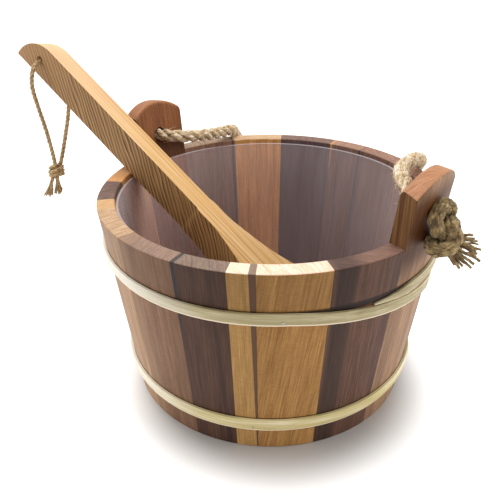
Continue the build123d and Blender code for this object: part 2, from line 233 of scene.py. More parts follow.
def sweepTube(points, radii, sides, lobes=0, lobeDepth=0.0, twistLength=0.0):
    bm = bmesh.new()
    fibre = bm.verts.layers.float_vector.new("fibre")
    travelled, placed, edges = 0.0, None, []
    for index, (place, radius) in enumerate(zip(followFrames(points), radii)):
        if index:
            travelled += (points[index] - points[index - 1]).length
        turn = 2 * math.pi * travelled / twistLength if twistLength else 0.0
        target = place @ Matrix.Rotation(turn, 4, "Z") @ Matrix.Diagonal((radius, radius, radius, 1))
        if index == 0:
            ring = bmesh.ops.create_circle(bm, cap_ends=True, segments=sides, radius=1.0)["verts"]
            for corner in ring:
                around = math.atan2(corner.co.y, corner.co.x)
                corner.co *= 1 - lobeDepth * (1 - math.cos(lobes * around)) / 2
            bmesh.ops.transform(bm, matrix=target, verts=ring)
            edges = bm.edges[:]
        else:
            made = bmesh.ops.extrude_edge_only(bm, edges=edges)["geom"]
            ring = [item for item in made if isinstance(item, bmesh.types.BMVert)]
            fresh = set(ring)
            edges = [item for item in made if isinstance(item, bmesh.types.BMEdge)]
            edges = [edge for edge in edges if fresh.issuperset(edge.verts)]
            bmesh.ops.transform(bm, matrix=target @ placed.inverted(), verts=ring)
        back = target.inverted()
        for corner in ring:
            local = back @ corner.co
            corner[fibre] = (travelled, local.x * radius, local.y * radius)
        placed = target
    bmesh.ops.contextual_create(bm, geom=edges)
    bmesh.ops.recalc_face_normals(bm, faces=bm.faces[:])
    # faces in a fixed order, since the extrusion's own differs from run to run
    bm.verts.index_update()
    for rank, face in enumerate(sorted(bm.faces, key=lambda face: sorted(corner.index for corner in face.verts))):
        face.index = rank
    bm.faces.sort()
    tube = bpy.data.meshes.new("tube")
    bm.to_mesh(tube)
    bm.free()
    return tube


# Strands laid round a path; each one swells and thins a little along its length
def layRope(path, rope):
    swellSize = 9 * mm
    points = evenPath(path, rope["ringSpacing"] * mm)
    places = followFrames(points)
    spacing = (points[1] - points[0]).length
    twistLength = -rope["layLength"] * mm * rope["yarnTwist"]
    tubes = []
    for number in range(rope["strands"]):
        line, radii = [], []
        for index, place in enumerate(places):
            turn = 2 * math.pi * (index * spacing / (rope["layLength"] * mm) + number / rope["strands"])
            swell = noise.noise(points[index] / swellSize + Vector((number * 5, 0, 0)))
            grow = 1 + rope["unevenness"] * swell
            offset = rope["strandOffset"] * mm * grow
            line.append(place @ Vector((math.cos(turn) * offset, math.sin(turn) * offset, 0)))
            radii.append(rope["strandRadius"] * mm * grow)
        tubes.append(sweepTube(line, radii, rope["sides"], rope["yarns"], rope["yarnDepth"], twistLength))
    return points, places, tubes


def makePiece(name, mesh, material, body):
    mesh.name = name
    mesh.shade_smooth()
    mesh.materials.clear()
    mesh.materials.append(material)
    piece = bpy.data.objects.new(name, mesh)
    bpy.context.collection.objects.link(piece)
    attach(piece, body)
    return piece


def joinTubes(tubes):
    bm = bmesh.new()
    for tube in tubes:
        bm.from_mesh(tube)
        bpy.data.meshes.remove(tube)
    mesh = bpy.data.meshes.new("joined")
    bm.to_mesh(mesh)
    bm.free()
    return mesh


# Loose fibres that stand off a rope: each bends a little and thins towards its tip
hairShape = {"steps": 4, "sway": 0.35, "thinning": 0.6}


def strayHairs(name, places, hair, material, body, seed):
    chance = random.Random(seed)
    data = bpy.data.curves.new(name, "CURVE")
    data.dimensions = "3D"
    data.bevel_depth = hair["radius"] * mm
    data.bevel_resolution = 0
    data.use_fill_caps = True
    for number in range(hair["count"]):
        place = chance.choice(places)
        around = chance.uniform(0, 2 * math.pi)
        outward = (place.to_3x3() @ Vector((math.cos(around), math.sin(around), 0))).normalized()
        ahead = (place.to_3x3() @ Vector((0, 0, 1))).normalized() * chance.choice((-1, 1))
        sway = Vector([chance.uniform(-1, 1) for _ in range(3)]) * hairShape["sway"]
        length = chance.uniform(*hair["lengths"]) * mm
        start = place.translation + outward * hair["rootRadius"] * mm
        lift = chance.uniform(*hair["lifts"])
        spline = data.splines.new("POLY")
        spline.points.add(hairShape["steps"])
        for step, point in enumerate(spline.points):
            share = step / hairShape["steps"]
            heading = ahead * (1 - lift) + outward * lift + sway * share
            point.co = (*(start + heading * length * share), 1)
            point.radius = 1 - hairShape["thinning"] * share
    holder = bpy.data.objects.new(name, data)
    mesh = bpy.data.meshes.new_from_object(holder)
    bpy.data.objects.remove(holder)
    return makePiece(name, mesh, material, body)


# Laid natural fibre: hairy, dull, with straw-pale crowns and brown hollows between its yarns
def laidFibre(name, tones, grit, depth):
    material, tree, shader = newMaterial(name)
    along = addNode(tree, "Attribute", attribute_name="fibre").outputs["Vector"]
    fine = stretchedNoise(tree, along, (1 / (9 * grit), 1 / grit, 1 / grit), {"Detail": 4.0, "Roughness": 0.65})
    spots = addNode(tree, "TexCoord").outputs["Object"]
    patches = addNode(tree, "TexNoise", {"Vector": spots, "Scale": 1 / (5 * grit), "Detail": 2.0}).outputs["Fac"]
    tone = addNode(tree, "Mix", {0: 0.45, 2: fine, 3: patches}, data_type="FLOAT").outputs[0]
    colour = addNode(tree, "ValToRGB", {0: tone}, stops=((0.36, 0.5, 0.64), tones)).outputs[0]
    coverSurface(tree, shader, colour, fine, 1.0, depth)
    shader.inputs["Roughness"].default_value = 0.85
    shader.inputs["Sheen Weight"].default_value = 0.15
    return material


ropeFibre = laidFibre("hairy laid rope", ("#68481C", "#DEC092", "#FFFAEE"), 0.75 * mm, 1.1 * mm)
knotFibre = laidFibre("hairy rope in the knots", ("#46331A", "#8C7246", "#D2B884"), 0.75 * mm, 0.8 * mm)
cordFibre = laidFibre("twisted jute cord", ("#8A6A40", "#B99A6B", "#D8BE92"), 0.5 * mm, 0.3 * mm)

# Rope handle: 11 mm three-strand rope from ear to ear
handleRope = {
    "strands": 3,
    "strandRadius": 2.75,
    "strandOffset": 2.65,
    "layLength": 31.0,
    "ringSpacing": 1.3,
    "sides": 20,
    "yarns": 5,
    "yarnDepth": 0.16,
    "yarnTwist": 0.8,
    "unevenness": 0.07,
    "length": 474.0,
    "diameter": 11.0,
    "hairs": {"count": 1100, "lengths": (2, 9), "rootRadius": 4.9, "lifts": (0.1, 0.55), "radius": 0.12},
    "route": [
        (-97.22, 80.15, 175.5), (-91.21, 75.18, 175.5), (-83.9, 72.6, 175.2), (-75.6, 72.9, 174.5),
        (-67.2, 76.6, 173.0), (-58.6, 85.8, 170.6), (-49.4, 97.6, 168.0), (-41.5, 108.5, 166.0),
        (-35.0, 119.5, 164.4), (-30.6, 130.9, 161.6), (-28.0, 139.6, 153.0), (-19.0, 143.5, 141.0),
        (3.0, 144.0, 132.0), (31.0, 140.5, 127.0), (59.0, 130.0, 126.0), (85.0, 113.5, 128.0),
        (107.0, 93.5, 132.5), (121.3, 74.0, 139.5), (128.4, 60.4, 149.6), (127.6, 48.6, 160.4),
        (120.8, 37.2, 166.3), (114.4, 25.8, 169.4), (106.0, 9.5, 173.0), (97.0, -9.5, 177.2),
        (91.2, -27.5, 180.4), (88.8, -39.5, 182.6), (87.5, -48.9, 184.1), (87.1, -56.8, 184.1),
        (88.4, -64.0, 182.0), (88.3, -69.6, 178.0), (91.21, -75.18, 175.5), (97.22, -80.15, 175.5),
    ],
}
handlePath = routePath("handle route", handleRope["route"])
ropePoints, ropePlaces, ropeTubes = layRope(handlePath, handleRope)
strayHairs("rope_handle_hairs", ropePlaces, handleRope["hairs"], ropeFibre, "handle", 11)
handle = makePiece("rope_handle_strands", joinTubes(ropeTubes), ropeFibre, "handle")
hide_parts("rope_handle")
print("rope handle laid")

# Stopper knots outside the ears, in each knot's own frame: outward, sideways, up
knots = {
    "middleRadius": 141.2,
    "height": 165.2,
    "sideShift": 2.0,
    "angles": {"left": 140.5, "right": 320.5},
    "strands": 3,
    "strandRadius": 2.85,
    "strandOffset": 2.5,
    "layLength": 27.0,
    "ringSpacing": 1.2,
    "sides": 20,
    "yarns": 5,
    "yarnDepth": 0.2,
    "yarnTwist": 0.8,
    "unevenness": 0.1,
    "hairs": {"count": 90, "lengths": (2, 8), "rootRadius": 4.2, "lifts": (0.2, 0.8), "radius": 0.1},
    "ringsInTheEar": 14,
    "route": [
        (-16, -2, 10.3), (-10, -2.2, 10.2), (-5.0, -5.5, 8.0), (-2.6, -10.0, 7.5), (-2.4, -9.4, 12.5),
        (-3.1, -5.0, 14.8), (-4.6, -0.1, 16.4), (-5.2, 4.7, 14.4), (-4.4, 8.5, 9.9), (-2.7, 9.4, 4.5),
        (-0.4, 6.3, 0), (0.8, -1.4, -3.1), (1.4, -8.5, -2.1), (1.1, -8.5, 2.3), (1.7, -0.8, 5.4),
        (5.5, 3.1, 3.8), (8.3, 3.9, -0.6), (8.6, 6.5, -4.6), (6.4, 10, -7.1), (2.5, 12.6, -8.1),
        (-3, 11.2, -8.2), (-6.8, 4.3, -8), (-6.6, -2.3, -7.3), (-2.2, -5.7, -8.3), (4.2, -5.6, -9.5),
        (8.3, -3.1, -9.5),
    ],
    "yarn": {"radius": 1.3, "thickness": (0.75, 1.15), "thinning": 0.35, "ringSpacing": 1.2, "sag": 1.2,
             "sides": 9, "lobes": 3, "lobeDepth": 0.25, "twistLength": 9.0},
    "tasselHeart": (3.5, -1.0, -7.5),
    "tassel": [
        ((7.0, -5.3, -2.7), (14.1, -9.9, -2.5)), ((8.1, -4.0, -3.9), (16.2, -8.4, -3.7)),
        ((8.0, -6.4, -6.5), (16.6, -13.2, -7.3)), ((9.2, -2.4, -5.3), (19.5, -7.0, -6.2)),
        ((9.7, -1.0, -5.8), (22.2, -5.3, -8.3)), ((8.0, -5.7, -9.5), (15.6, -11.8, -11.6)),
        ((8.8, -2.5, -8.8), (19.7, -7.2, -12.8)), ((9.3, 0.9, -8.0), (23.8, -2.1, -14.7)),
        ((7.8, -3.1, -11.0), (18.9, -9.1, -16.0)), ((8.9, 1.5, -10.3), (21.0, -0.5, -17.2)),
        ((7.8, 1.9, -11.7), (20.0, -0.1, -19.9)), ((6.7, -0.4, -13.5), (16.7, -3.7, -21.0)),
        ((6.7, 3.4, -12.7), (15.4, 3.0, -18.9)), ((6.6, 6.0, -12.0), (15.3, 7.5, -18.5)),
        ((5.1, 3.8, -13.5), (10.7, 4.7, -19.0)), ((5.2, -1.5, -14.5), (13.7, -5.7, -21.3)),
        ((6.9, -6.4, -9.4), (16.8, -13.0, -14.6)),
    ],
}
yarnShape = knots["yarn"]
for seed, (sideName, angle) in enumerate(knots["angles"].items()):
    outward = Vector((math.cos(math.radians(angle)), math.sin(math.radians(angle)), 0))
    sideways = Vector((outward.y, -outward.x, 0))
    middle = outward * knots["middleRadius"] + Vector((0, 0, knots["height"])) + sideways * knots["sideShift"]
    local = Matrix((outward, sideways, Vector((0, 0, 1)))).transposed()
    route = [middle + local @ Vector(place) for place in knots["route"]]
    _, knotPlaces, knotTubes = layRope(routePath("knot route", route), knots)
    chance = random.Random(40 + seed)
    for root, tip in knots["tassel"]:
        root, tip = Vector(root), Vector(tip)
        inner = root.lerp(Vector(knots["tasselHeart"]), 0.45)
        sag = Vector([chance.uniform(-yarnShape["sag"], yarnShape["sag"]) for _ in range(3)])
        line = [inner, root, root.lerp(tip, 0.35) + sag, root.lerp(tip, 0.7) - sag * 0.6, tip]
        yarnPath = routePath("yarn", [middle + local @ place for place in line])
        yarn = evenPath(yarnPath, yarnShape["ringSpacing"] * mm)
        thick = yarnShape["radius"] * mm * chance.uniform(*yarnShape["thickness"])
        radii = [thick * (1 - yarnShape["thinning"] * index / (len(yarn) - 1)) for index in range(len(yarn))]
        form = (yarnShape["sides"], yarnShape["lobes"], yarnShape["lobeDepth"], yarnShape["twistLength"] * mm)
        knotTubes.append(sweepTube(yarn, radii, *form))
    hairyPlaces = knotPlaces[knots["ringsInTheEar"]:]  # none on the rings that lie in the ear's hole
    strayHairs("rope_knot_hairs_" + sideName, hairyPlaces, knots["hairs"], knotFibre, "pail", 70 + seed)
    piece = makePiece("rope_knot_" + sideName, joinTubes(knotTubes), knotFibre, "pail")
    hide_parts("rope_end_" + sideName)
print("stopper knots tied")

# Ladle cord: 3.5 mm three-strand cord through the handle's hole, its knot and two frayed tails
ladleCord = {
    "strands": 3,
    "strandRadius": 1.05,
    "strandOffset": 0.85,
    "layLength": 12.5,
    "ringSpacing": 0.8,
    "sides": 10,
    "yarns": 3,
    "yarnDepth": 0.15,
    "yarnTwist": 0.9,
    "unevenness": 0.1,
    "length": 210.4,
    "diameter": 3.5,
    "hairs": {"count": 150, "lengths": (2, 6), "rootRadius": 1.5, "lifts": (0.2, 0.8), "radius": 0.06},
    "route": [
        (-189.0, 85.2, 146.0), (-189.4, 81.2, 172.0), (-192.3, 75.5, 200.0), (-193.2, 71.4, 217.5),
        (-191.3, 71.2, 228.6), (-187.94, 75.98, 236.68), (-175.83, 95.58, 236.68), (-172.8, 99.4, 229.2),
        (-171.2, 100.8, 218.0), (-172.4, 97.6, 194.0), (-178.6, 92.2, 167.0), (-184.6, 88.0, 146.0),
    ],
    "knotMiddle": (-188.6, 86.6, 139.2),
    "knotCore": [(-0.4, -1.4, 7.2), (-0.8, -0.8, 3.0), (-0.6, 0.4, -1.0), (-0.6, 1.6, -4.6)],
    "knotEnd": [(3.4, 2.0, 4.4), (4.0, 1.4, 7.2)],
    "wrap": {"turns": 2.6, "wide": 6.0, "deep": 4.6, "foot": -4.9, "rise": 8.6, "tilt": 1.5, "shift": -0.8,
             "steps": 10},
    "knotHairs": 40,
    "tails": {
        "left": {"top": (-4.4, -0.6, -5.6), "tip": (-12.0, -1.0, -25.0), "spread": 3.9},
        "right": {"top": (-1.0, 0.2, -5.6), "tip": (-2.2, 0.6, -23.0), "spread": 3.6},
    },
    "tailFibre": {"count": 80, "radius": 0.46, "thinning": 0.4, "rootSpread": 1.3, "shortest": 0.75,
                  "bend": 0.6, "ringSpacing": 1.5, "sides": 5},
}
cordPoints, cordPlaces, cordTubes = layRope(routePath("cord route", ladleCord["route"]), ladleCord)
strayHairs("ladle_cord_hairs", cordPlaces, ladleCord["hairs"], cordFibre, "ladle", 21)
cordLoop = makePiece("ladle_cord_strands", joinTubes(cordTubes), cordFibre, "ladle")
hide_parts("ladle_cord")

knotMiddle = Vector(ladleCord["knotMiddle"])
wrap = ladleCord["wrap"]
wraps = []
for step in range(round(wrap["turns"] * wrap["steps"])):
    turn = 2 * math.pi * step / wrap["steps"]
    height = wrap["foot"] + wrap["rise"] * step / (wrap["turns"] * wrap["steps"]) + wrap["tilt"] * math.cos(turn)
    wraps.append((wrap["shift"] + wrap["wide"] * math.cos(turn), wrap["deep"] * math.sin(turn), height))
knotRoute = ladleCord["knotCore"] + wraps + ladleCord["knotEnd"]
cordKnotPath = routePath("cord knot", [knotMiddle + Vector(place) for place in knotRoute])
_, tiedPlaces, tiedTubes = layRope(cordKnotPath, ladleCord)
fewHairs = ladleCord["hairs"] | {"count": ladleCord["knotHairs"]}
strayHairs("ladle_cord_knot_hairs", tiedPlaces, fewHairs, cordFibre, "ladle", 22)
cordKnot = makePiece("ladle_cord_tied_knot", joinTubes(tiedTubes), cordFibre, "ladle")
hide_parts("ladle_cord_knot")
fibreShape = ladleCord["tailFibre"]
thick = fibreShape["radius"] * mm
for seed, (sideName, shape) in enumerate(ladleCord["tails"].items()):
    chance = random.Random(90 + seed)
    top, tip = Vector(shape["top"]), Vector(shape["tip"])
    fibres = []
    for number in range(fibreShape["count"]):
        root = top + Vector([chance.uniform(-1, 1) * fibreShape["rootSpread"] for _ in range(3)])
        end = top.lerp(tip, chance.uniform(fibreShape["shortest"], 1.0))
        end += Vector([chance.uniform(-1, 1) * shape["spread"] for _ in range(2)] + [0])
        bend = root.lerp(end, 0.5).lerp(top.lerp(tip, 0.5), 0.5)
        bend += Vector([chance.uniform(-1, 1) * fibreShape["bend"] for _ in range(3)])
        fibrePath = routePath("tail", [knotMiddle + place for place in (root, bend, end)])
        line = evenPath(fibrePath, fibreShape["ringSpacing"] * mm)
        radii = [thick * (1 - fibreShape["thinning"] * step / len(line)) for step in range(len(line))]
        fibres.append(sweepTube(line, radii, fibreShape["sides"]))
    tail = makePiece("ladle_cord_frayed_" + sideName, joinTubes(fibres), cordFibre, "ladle")
    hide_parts("ladle_cord_tail_" + sideName)
print("ladle cord hung")

# Staves: planed softwood with straight upright grain and thin dark joints
pail = {
    "height": 157.0,
    "meanRadius": 122.0,
    "grainWidth": 0.95,
    "grainLength": 150.0,
    "bandWidth": 7.0,
    "ringWidth": 1.0,
    "poreWidth": 0.6,
    "linerTop": 153.0,
    "jointWidth": 0.35,
    # painted shade: the outside darkens towards the rim
    "rimShadeTone": 0.8,
    "rimShadeFrom": (120, 134),
    # painted shade round the knot and over the ear's upper part, outside
    "stain": {"from": (126, 152), "to": (204, 184), "tint": (0.32, 0.2, 0.09)},
    # painted shade inside the ears near the rim, where rope and ladle shade them
    "innerShade": {"from": (180, 162), "tone": 0.45},
    "jointColour": "#24160F",
    # level, width (upward, or downward where negative), colour and strength: the upward dark lines are painted
    # shade in the crevice above each hoop, the downward ones a warm line under it
    "hoopLines": [
        (127.7, 1.5, "#1A0F0B", 0.9), (30.7, 1.2, "#1A0F0B", 0.8),
        (118.5, -1.3, "#8A4B2A", 0.5), (20.5, -1.1, "#7A4426", 0.5),
    ],
}

# Each stave: its span in degrees, the tones of face and end grain, the turn of its growth rings, how much
# painted light brightens it inside, and its streaks: offset at rim and foot in degrees, half width at rim and
# foot in millimetres, colour, strength, softness in millimetres
staves = {
    "stave_01": {
        "span": (152.3, 172.9), "turn": 20, "inside": 1.8,
        "face": ("#8A5A34", "#B07A4A", "#C6925C"), "end": ("#B0723E", "#DCA66E"),
    },
    "stave_02": {
        "span": (172.9, 189.0), "turn": 50, "inside": 4.0,
        "face": ("#4A3A32", "#5A463A", "#6E5746"), "end": ("#3E2E26", "#82665A"),
    },
    "stave_03": {
        "span": (189.0, 218.6), "turn": 75, "inside": 2.2,
        "face": ("#8E6A4E", "#AA8464", "#BC9A78"), "end": ("#986F4C", "#CCAC8A"),
        "streaks": [(-11.0, -11.0, 8.0, 8.0, "#D8A86C", 0.5, 3.0)],
    },
    "stave_04": {
        "span": (218.6, 240.2), "turn": 70, "inside": 2.2,
        "face": ("#654934", "#7C5B44", "#916D53"), "end": ("#75584A", "#A08472"),
        "streaks": [(-9.5, -8.5, 5.0, 9.0, "#A48264", 0.5, 7.0), (9.0, 7.5, 3.0, 6.0, "#6E4E3A", 0.35, 3.0)],
    },
    "stave_05": {
        "span": (240.2, 256.5), "turn": 65, "inside": 1.8,
        "face": ("#38251C", "#493026", "#5C402F"), "end": ("#644E42", "#937C6C"),
        "streaks": [(-7.4, -8.6, 1.25, -1.3, "#2A2A30", 0.95, 0.5), (3.5, 5.5, 1.0, 2.0, "#35221E", 0.5, 1.6)],
    },
    "stave_06": {
        "span": (256.5, 264.5), "turn": 40,
        "face": ("#97703E", "#B0864E", "#C69C62"), "end": ("#E6B98C", "#FFEEDA"),
        "streaks": [(3.05, 3.8, 2.15, 0.5, "#5C4030", 0.95, 0.35)],
    },
    "stave_07": {
        "span": (264.5, 285.3), "turn": 68, "slant": -0.12,
        "face": ("#8A602E", "#A67842", "#BE9052"), "end": ("#E6A87A", "#FFE8D4"),
    },
    "stave_08": {
        "span": (285.3, 308.7), "turn": 40,
        "face": ("#482F24", "#624335", "#785442"), "end": ("#5E4236", "#8C6A5A"),
        "streaks": [(-7.5, -7.5, 8.0, 8.0, "#2C1E1A", 0.75, 7.0), (9.8, 9.8, 3.0, 3.0, "#4A3430", 0.4, 3.0)],
    },
    "stave_09": {
        "span": (332.3, 351.5), "turn": 20,
        "face": ("#543C32", "#6E5244", "#826452"), "end": ("#8A6450", "#B48A70"),
    },
    "stave_10": {
        "span": (351.5, 370.5), "turn": 80,
        "face": ("#543C34", "#6A4E44", "#7E6052"), "end": ("#8A6450", "#B48A70"),
    },
    "stave_11": {
        "span": (370.5, 388.5), "turn": 60,
        "face": ("#583E34", "#705246", "#846454"), "end": ("#7A5646", "#A07A66"),
    },
    "stave_12": {
        "span": (388.5, 405.5), "turn": 35,
        "face": ("#523A30", "#684C40", "#7A5C4E"), "end": ("#7A5646", "#A07A66"),
        "streaks": [(8.5, 6.4, 0.5, 0.8, "#262840", 0.75, 1.6)],
    },
    "stave_13": {
        "span": (405.5, 420.5), "turn": 100, "inside": 1.3,
        "face": ("#5A4036", "#6E5246", "#826254"), "end": ("#805A48", "#AC866E"),
        "streaks": [(6.6, 6.6, 0.8, -3.6, "#D89A5C", 0.8, 0.4),
                    (-7.2, -7.2, 0.5, 0.5, "#22243C", 0.85, 0.7),
                    (2.9, 1.6, 0.5, 0.5, "#2E2C46", 0.6, 1.8)],
    },
    "stave_14": {
        "span": (420.5, 443.0), "turn": 65, "inside": 1.35,
        "face": ("#463434", "#584444", "#685250"), "end": ("#5C443A", "#846658"),
    },
    "stave_15": {
        "span": (443.0, 464.3), "turn": 20, "inside": 1.85,
        "face": ("#A06C38", "#C08A4E", "#D6A066"), "end": ("#A67648", "#D4B692"),
    },
    "stave_16": {
        "span": (464.3, 488.7), "turn": 90,
        "face": ("#6E4E3C", "#86624E", "#9A745E"), "end": ("#846852", "#AC8E74"),
        "streaks": [(-11.2, -11.2, 1.1, 0.9, "#3A2C34", 0.75, 0.8)],
    },
    "ear_stave_left": {
        "span": (128.7, 152.3), "turn": 15, "inside": 3.2,
        "face": ("#663A1C", "#864F28", "#9C6436"), "end": ("#8A5636", "#AC7650"),
        "ear": ("#482C1A", "#664228"),
    },
    "ear_stave_right": {
        "span": (308.7, 332.3), "turn": 30,
        "face": ("#7C583E", "#9C785A", "#B8926E"), "end": ("#93603F", "#C08A64"),
        "ear": ("#7A4E2A", "#B4824E"),
        "streaks": [(-8.5, -8.5, 5.0, 5.0, "#6A4C3C", 0.45, 3.0)],
    },
}
fineLines = {"Detail": 5.0, "Roughness": 0.65, "Distortion": 0.3}


def toneUnderMask(tree, colour, mask, tone):
    factor = addNode(tree, "MapRange", {0: mask, 3: 1.0, 4: tone}).outputs[0]
    return addNode(tree, "VectorMath", {0: colour, "Scale": factor}, operation="SCALE").outputs[0]


def distanceFrom(tree, arc, middle):
    away = addNode(tree, "Math", {0: arc, 1: middle}, operation="SUBTRACT").outputs[0]
    return addNode(tree, "Math", {0: away}, operation="ABSOLUTE").outputs[0]


# Planed softwood: matt boards, each with its own tone
def planedWood(name, stave):
    low, high = stave["span"]
    perDegree = math.radians(1) * pail["meanRadius"]
    material, tree, shader = newMaterial(name)
    source = addNode(tree, "TexCoord").outputs
    turnBack = (0, 0, -math.radians((low + high) / 2))
    place = addNode(tree, "Mapping", {"Vector": source["Object"], "Rotation": turnBack}).outputs[0]
    facing = addNode(tree, "Mapping", {"Vector": source["Normal"], "Rotation": turnBack}).outputs[0]
    radial, sideways, height = addNode(tree, "SeparateXYZ", {0: place}).outputs
    outward, endwise, upward = addNode(tree, "SeparateXYZ", {0: facing}).outputs
    around = addNode(tree, "Math", {0: sideways, 1: radial}, operation="ARCTAN2").outputs[0]
    arc = {0: around, 1: pail["meanRadius"]}
    arc = addNode(tree, "Math", arc, operation="MULTIPLY").outputs[0]  # millimetres
    rise = addNode(tree, "MapRange", {0: height, 1: 0.0, 2: pail["height"] * mm}).outputs[0]
    outside = addNode(tree, "MapRange", {0: outward, 1: 0.3, 2: 0.6}).outputs[0]
    inside = addNode(tree, "MapRange", {0: outward, 1: -0.3, 2: -0.6}).outputs[0]

    # fine growth lines along the stave, sheared where the board was cut across its grain
    slant = {0: height, 1: stave.get("slant", 0.0), 2: sideways}
    sheared = addNode(tree, "Math", slant, operation="MULTIPLY_ADD").outputs[0]
    grain = addNode(tree, "CombineXYZ", {0: radial, 1: sheared, 2: height}).outputs[0]
    lineScale = (1 / (4 * mm), 1 / (pail["grainWidth"] * mm), 1 / (pail["grainLength"] * mm))
    bandScale = (1 / (20 * mm), 1 / (pail["bandWidth"] * mm), 1 / (400 * mm))
    fine = stretchedNoise(tree, grain, lineScale, fineLines, (low, high, low))
    broad = stretchedNoise(tree, grain, bandScale, {"Detail": 2.0, "Distortion": 0.5}, (high, low, high))
    tone = addNode(tree, "Mix", {0: 0.3, 2: fine, 3: broad}, data_type="FLOAT").outputs[0]
    colour = addNode(tree, "ValToRGB", {0: tone}, stops=((0.36, 0.5, 0.64), stave["face"])).outputs[0]
    flecks = stretchedNoise(tree, grain, (400, 260, 1500), {"Detail": 3.0})  # short cross fibres
    flecks = addNode(tree, "MapRange", {0: flecks, 1: 0.35, 2: 0.65, 3: 0.9, 4: 1.08}).outputs[0]
    colour = addNode(tree, "VectorMath", {0: colour, "Scale": flecks}, operation="SCALE").outputs[0]

    # darker or paler streaks
    for topAngle, footAngle, topHalf, footHalf, code, amount, soft in stave.get("streaks", []):
        middle = {0: rise, 3: footAngle * perDegree, 4: topAngle * perDegree}
        middle = addNode(tree, "MapRange", middle).outputs[0]
        half = addNode(tree, "MapRange", {0: rise, 3: footHalf, 4: topHalf}).outputs[0]
        away = distanceFrom(tree, arc, middle)
        away = addNode(tree, "Math", {0: away, 1: half}, operation="SUBTRACT").outputs[0]
        wander = addNode(tree, "Math", {0: broad, 1: 0.5}, operation="SUBTRACT").outputs[0]
        away = addNode(tree, "Math", {0: wander, 1: soft, 2: away}, operation="MULTIPLY_ADD").outputs[0]
        mask = {0: away, 1: soft / 2, 2: -soft / 2, 3: 0.0, 4: amount}
        mask = addNode(tree, "MapRange", mask, interpolation_type="SMOOTHSTEP").outputs[0]
        colour = addNode(tree, "Mix", {0: mask, 6: colour, 7: hexToLinear(code)}, data_type="RGBA").outputs[2]

    # outside: painted shade under the rim, painted shade in the crevice above each hoop and a warm line under it
    if "ear" not in stave:
        start, end = pail["rimShadeFrom"]
        rimShade = {0: height, 1: start * mm, 2: end * mm, 3: 0.0, 4: outside}
        rimShade = addNode(tree, "MapRange", rimShade).outputs[0]
        colour = toneUnderMask(tree, colour, rimShade, pail["rimShadeTone"])
    for level, width, code, amount in pail["hoopLines"]:
        near = {0: height, 1: (level + width) * mm, 2: level * mm, 3: 0.0, 4: amount}
        near = addNode(tree, "MapRange", near).outputs[0]
        limit = (level - math.copysign(4, width)) * mm
        side = "GREATER_THAN" if width > 0 else "LESS_THAN"
        beyond = addNode(tree, "Math", {0: height, 1: limit}, operation=side).outputs[0]
        near = addNode(tree, "Math", {0: near, 1: beyond}, operation="MULTIPLY").outputs[0]
        near = addNode(tree, "Math", {0: near, 1: outside}, operation="MULTIPLY").outputs[0]
        colour = addNode(tree, "Mix", {0: near, 6: colour, 7: hexToLinear(code)}, data_type="RGBA").outputs[2]

    # inside, behind the liner, painted light makes the planed wood paler, standing in for the light the liner
    # holds back
    paintedLightInside = addNode(tree, "Math", {0: height, 1: pail["linerTop"] * mm}, operation="LESS_THAN").outputs[0]
    paintedLightInside = addNode(tree, "Math", {0: inside, 1: paintedLightInside}, operation="MULTIPLY").outputs[0]
    colour = toneUnderMask(tree, colour, paintedLightInside, stave.get("inside", 1.4))

    # ears: painted shade near the rim inside, where rope and ladle shade them, painted shade round the knot and
    # over the ear's upper part outside, long dark grain on the narrow side faces
    if "ear" in stave:
        start, end = pail["innerShade"]["from"]
        innerShadeMask = {0: height, 1: start * mm, 2: end * mm}
        innerShadeMask = addNode(tree, "MapRange", innerShadeMask, interpolation_type="SMOOTHSTEP").outputs[0]
        innerShadeMask = addNode(tree, "Math", {0: innerShadeMask, 1: inside}, operation="MULTIPLY").outputs[0]
        colour = toneUnderMask(tree, colour, innerShadeMask, pail["innerShade"]["tone"])
        stain = outside
        for start, end in (pail["stain"]["from"], pail["stain"]["to"]):
            grown = {0: height, 1: start * mm, 2: end * mm}
            grown = addNode(tree, "MapRange", grown, interpolation_type="SMOOTHSTEP").outputs[0]
            stain = addNode(tree, "Math", {0: stain, 1: grown}, operation="MULTIPLY").outputs[0]
        stained = {0: colour, 1: pail["stain"]["tint"]}
        stained = addNode(tree, "VectorMath", stained, operation="MULTIPLY").outputs[0]
        colour = addNode(tree, "Mix", {0: stain, 6: colour, 7: stained}, data_type="RGBA").outputs[2]
        sideGrain = stretchedNoise(tree, place, (1 / (1.6 * mm), 30, 1 / (60 * mm)), {"Detail": 4.0})
        sideColour = addNode(tree, "ValToRGB", {0: sideGrain}, stops=((0.4, 0.6), stave["ear"])).outputs[0]
        flat = addNode(tree, "Math", {0: endwise}, operation="ABSOLUTE").outputs[0]
        flat = addNode(tree, "MapRange", {0: flat, 1: 0.6, 2: 0.8}).outputs[0]
        colour = addNode(tree, "Mix", {0: flat, 6: colour, 7: sideColour}, data_type="RGBA").outputs[2]

